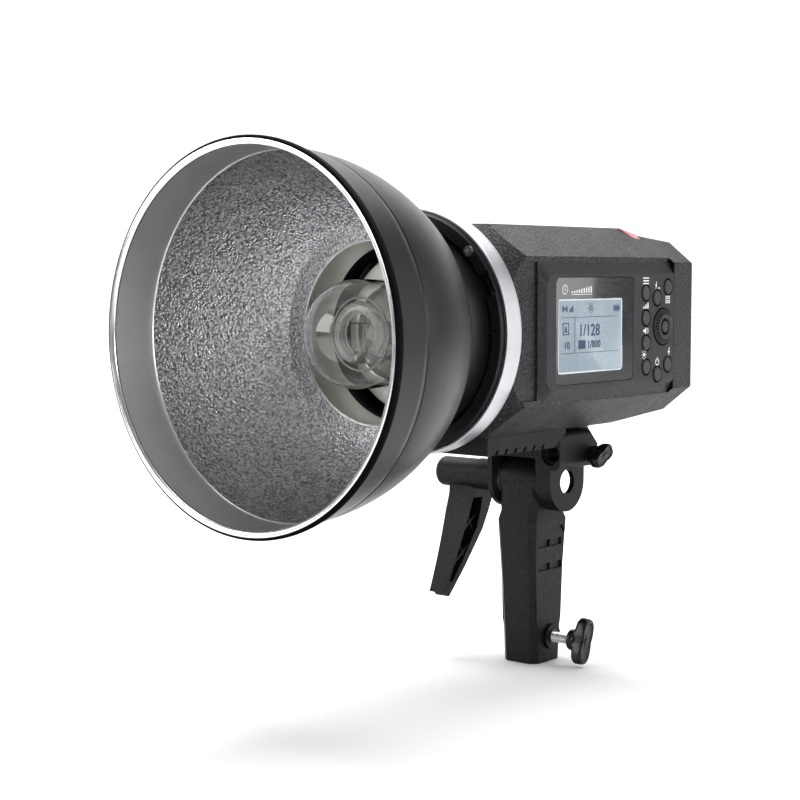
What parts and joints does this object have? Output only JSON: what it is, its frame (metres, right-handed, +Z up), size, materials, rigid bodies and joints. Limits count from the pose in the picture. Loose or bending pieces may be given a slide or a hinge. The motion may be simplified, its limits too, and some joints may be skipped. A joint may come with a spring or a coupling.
{
  "type": "monolight studio strobe",
  "caption": "Battery monolight strobe with a deep bayonet dish reflector, glass-domed flash tube, side control panel and a tilting grip bracket for a light stand.",
  "frame": {"origin": "centre of the stand socket's mouth, at the foot of the handle", "axes": "+Z up along the stand socket, the flash fires along -Y, +X towards the control panel"},
  "size_m": [0.1844, 0.2982, 0.2797],
  "materials": {
    "casing_plastic": "fine spark-eroded grain",
    "panel_plastic": "smooth satin",
    "window_gloss": "polished",
    "screen_glass": "lit display",
    "key_rubber": "satin keypad",
    "ring_aluminium": "bead-blasted",
    "plate_black": "satin black",
    "dish_metal": "hammered inside, black outside",
    "rim_bright": "polished lip",
    "collar_black": "satin black",
    "clear_glass": "clear",
    "quartz": "clear tube",
    "ceramic_cream": "matt ceramic",
    "nickel_wire": "drawn wire",
    "lamp_white": "diffuser",
    "steel": "zinc plated",
    "brass": "turned",
    "grip_plastic": "satin glass-filled nylon",
    "knob_plastic": "semi-gloss",
    "sensor_red": "translucent red",
    "board_green": "solder mask",
    "capacitor_sleeve": "shrink sleeve",
    "chassis_steel": "plated sheet",
    "heat_sink_metal": "extruded",
    "fan_plastic": "moulded",
    "bracket_metal": "textured black"
  },
  "bodies": {
    "handle": {"handle_grip": "grip_plastic", "grip_panels": "grip_plastic", "socket_sleeve": "steel", "clamp_insert": "brass", "tilt_nut": "steel", "friction_rosette": "steel"},
    "clamp_pad": {"clamp_screw_pad": "brass"},
    "clamp_screw": {"clamp_screw_shank": "steel", "clamp_screw_knob": "knob_plastic"},
    "lever": {"tilt_lever": "grip_plastic", "tilt_bolt": "steel", "pressure_boss": "bracket_metal"},
    "head": {"bracket_skirt": "bracket_metal", "yoke": "bracket_metal", "bracket_screws": "steel", "main_casing": "casing_plastic", "rear_cover": "casing_plastic", "sensor_window": "sensor_red", "port_panel": "panel_plastic", "control_panel": "panel_plastic", "window": "window_gloss", "lcd_module": "screen_glass", "display_board": "board_green", "mount_ring": "ring_aluminium", "bayonet_plate": "plate_black", "bayonet_screws": "steel", "glass_dome": "clear_glass", "lamp_base": "ceramic_cream", "lamp_carrier": "plate_black", "flash_tube": "quartz", "modelling_lamp": "lamp_white", "trigger_wire": "nickel_wire", "chassis": "chassis_steel", "capacitor_bank": "capacitor_sleeve", "main_board": "board_green", "wound_parts": "brass", "heat_sink": "heat_sink_metal", "fan_frame": "fan_plastic", "battery_bay": "casing_plastic"},
    "umbrella_pad": {"umbrella_screw_pad": "brass"},
    "umbrella_screw": {"umbrella_screw_shank": "steel", "umbrella_screw_knob": "knob_plastic"},
    "reflector": {"reflector_bowl": "dish_metal", "reflector_rim": "rim_bright", "reflector_collar": "collar_black"},
    "fan": {"fan_rotor": "fan_plastic"},
    "dial": {"dial": "knob_plastic"},
    "set_button": {"set_button": "key_rubber"},
    "battery": {"battery_pack": "casing_plastic"},
    "battery_latch": {"battery_latch": "panel_plastic"},
    "release_tab": {"release_tab": "panel_plastic"},
    "power_switch": {"power_switch": "panel_plastic"},
    "button_1": {"button_1": "key_rubber"},
    "button_2": {"button_2": "key_rubber"},
    "button_3": {"button_3": "key_rubber"},
    "button_4": {"button_4": "key_rubber"},
    "button_5": {"button_5": "key_rubber"},
    "button_6": {"button_6": "key_rubber"},
    "button_7": {"button_7": "key_rubber"},
    "button_8": {"button_8": "key_rubber"}
  },
  "joints": [
    {"name": "head_tilt", "type": "hinge", "parent": "handle", "child": "head", "pos_m": [0, 0, 0.1025], "axis": [1, 0, 0], "range_deg": [-70, 60]},
    {"name": "lever_turn", "type": "hinge", "parent": "handle", "child": "lever", "pos_m": [-0.04, 0, 0.1025], "axis": [1, 0, 0], "range_deg": [-60, 60]},
    {"name": "clamp_pad_slide", "type": "slide", "parent": "handle", "child": "clamp_pad", "axis": [1, 0, 0], "range_m": [-0.001, 0.003]},
    {"name": "clamp_screw_turn", "type": "hinge", "parent": "clamp_pad", "child": "clamp_screw", "pos_m": [0.02, 0.0026, 0.014], "axis": [1, 0, 0], "range_deg": [-360, 1080]},
    {"name": "umbrella_pad_slide", "type": "slide", "parent": "head", "child": "umbrella_pad", "axis": [1, 0, 0], "range_m": [-0.001, 0.003]},
    {"name": "umbrella_screw_turn", "type": "hinge", "parent": "umbrella_pad", "child": "umbrella_screw", "pos_m": [0.036, 0.0115, 0.117], "axis": [1, 0, 0], "range_deg": [-360, 1080]},
    {"name": "reflector_turn", "type": "hinge", "parent": "head", "child": "reflector", "pos_m": [0, -0.11, 0.1875], "axis": [0, 1, 0], "range_deg": [0, 25]},
    {"name": "fan_spin", "type": "hinge", "parent": "head", "child": "fan", "pos_m": [0, 0.036, 0.1995], "axis": [0, 1, 0], "continuous": true},
    {"name": "dial_turn", "type": "hinge", "parent": "head", "child": "dial", "pos_m": [0.06, 0.0362, 0.188], "axis": [1, 0, 0], "continuous": true},
    {"name": "set_press", "type": "slide", "parent": "head", "child": "set_button", "axis": [-1, 0, 0], "range_m": [0, 0.0008], "stiffness_N_per_m": 600, "springref_m": -0.001},
    {"name": "battery_slide", "type": "slide", "parent": "head", "child": "battery", "axis": [-1, 0, 0], "range_m": [0, 0.045]},
    {"name": "battery_latch_slide", "type": "slide", "parent": "head", "child": "battery_latch", "axis": [0, 1, 0], "range_m": [0, 0.003], "stiffness_N_per_m": 250, "springref_m": -0.002},
    {"name": "release_slide", "type": "slide", "parent": "head", "child": "release_tab", "axis": [0, 1, 0], "range_m": [0, 0.005], "stiffness_N_per_m": 250, "springref_m": -0.002},
    {"name": "power_slide", "type": "slide", "parent": "head", "child": "power_switch", "axis": [1, 0, 0], "range_m": [0, 0.008]},
    {"name": "button_1_press", "type": "slide", "parent": "head", "child": "button_1", "axis": [-1, 0, 0], "range_m": [0, 0.0008], "stiffness_N_per_m": 600, "springref_m": -0.001},
    {"name": "button_2_press", "type": "slide", "parent": "head", "child": "button_2", "axis": [-1, 0, 0], "range_m": [0, 0.0008], "stiffness_N_per_m": 600, "springref_m": -0.001},
    {"name": "button_3_press", "type": "slide", "parent": "head", "child": "button_3", "axis": [-1, 0, 0], "range_m": [0, 0.0008], "stiffness_N_per_m": 600, "springref_m": -0.001},
    {"name": "button_4_press", "type": "slide", "parent": "head", "child": "button_4", "axis": [-1, 0, 0], "range_m": [0, 0.0008], "stiffness_N_per_m": 600, "springref_m": -0.001},
    {"name": "button_5_press", "type": "slide", "parent": "head", "child": "button_5", "axis": [-1, 0, 0], "range_m": [0, 0.0008], "stiffness_N_per_m": 600, "springref_m": -0.001},
    {"name": "button_6_press", "type": "slide", "parent": "head", "child": "button_6", "axis": [-1, 0, 0], "range_m": [0, 0.0008], "stiffness_N_per_m": 600, "springref_m": -0.001},
    {"name": "button_7_press", "type": "slide", "parent": "head", "child": "button_7", "axis": [-1, 0, 0], "range_m": [0, 0.0008], "stiffness_N_per_m": 600, "springref_m": -0.001},
    {"name": "button_8_press", "type": "slide", "parent": "head", "child": "button_8", "axis": [-1, 0, 0], "range_m": [0, 0.0008], "stiffness_N_per_m": 600, "springref_m": -0.001}
  ],
  "couplings": [
    {"joint": "clamp_screw_turn", "follows": "clamp_pad_slide", "rad_per_m": 6283.2},
    {"joint": "umbrella_screw_turn", "follows": "umbrella_pad_slide", "rad_per_m": 6283.2}
  ]
}
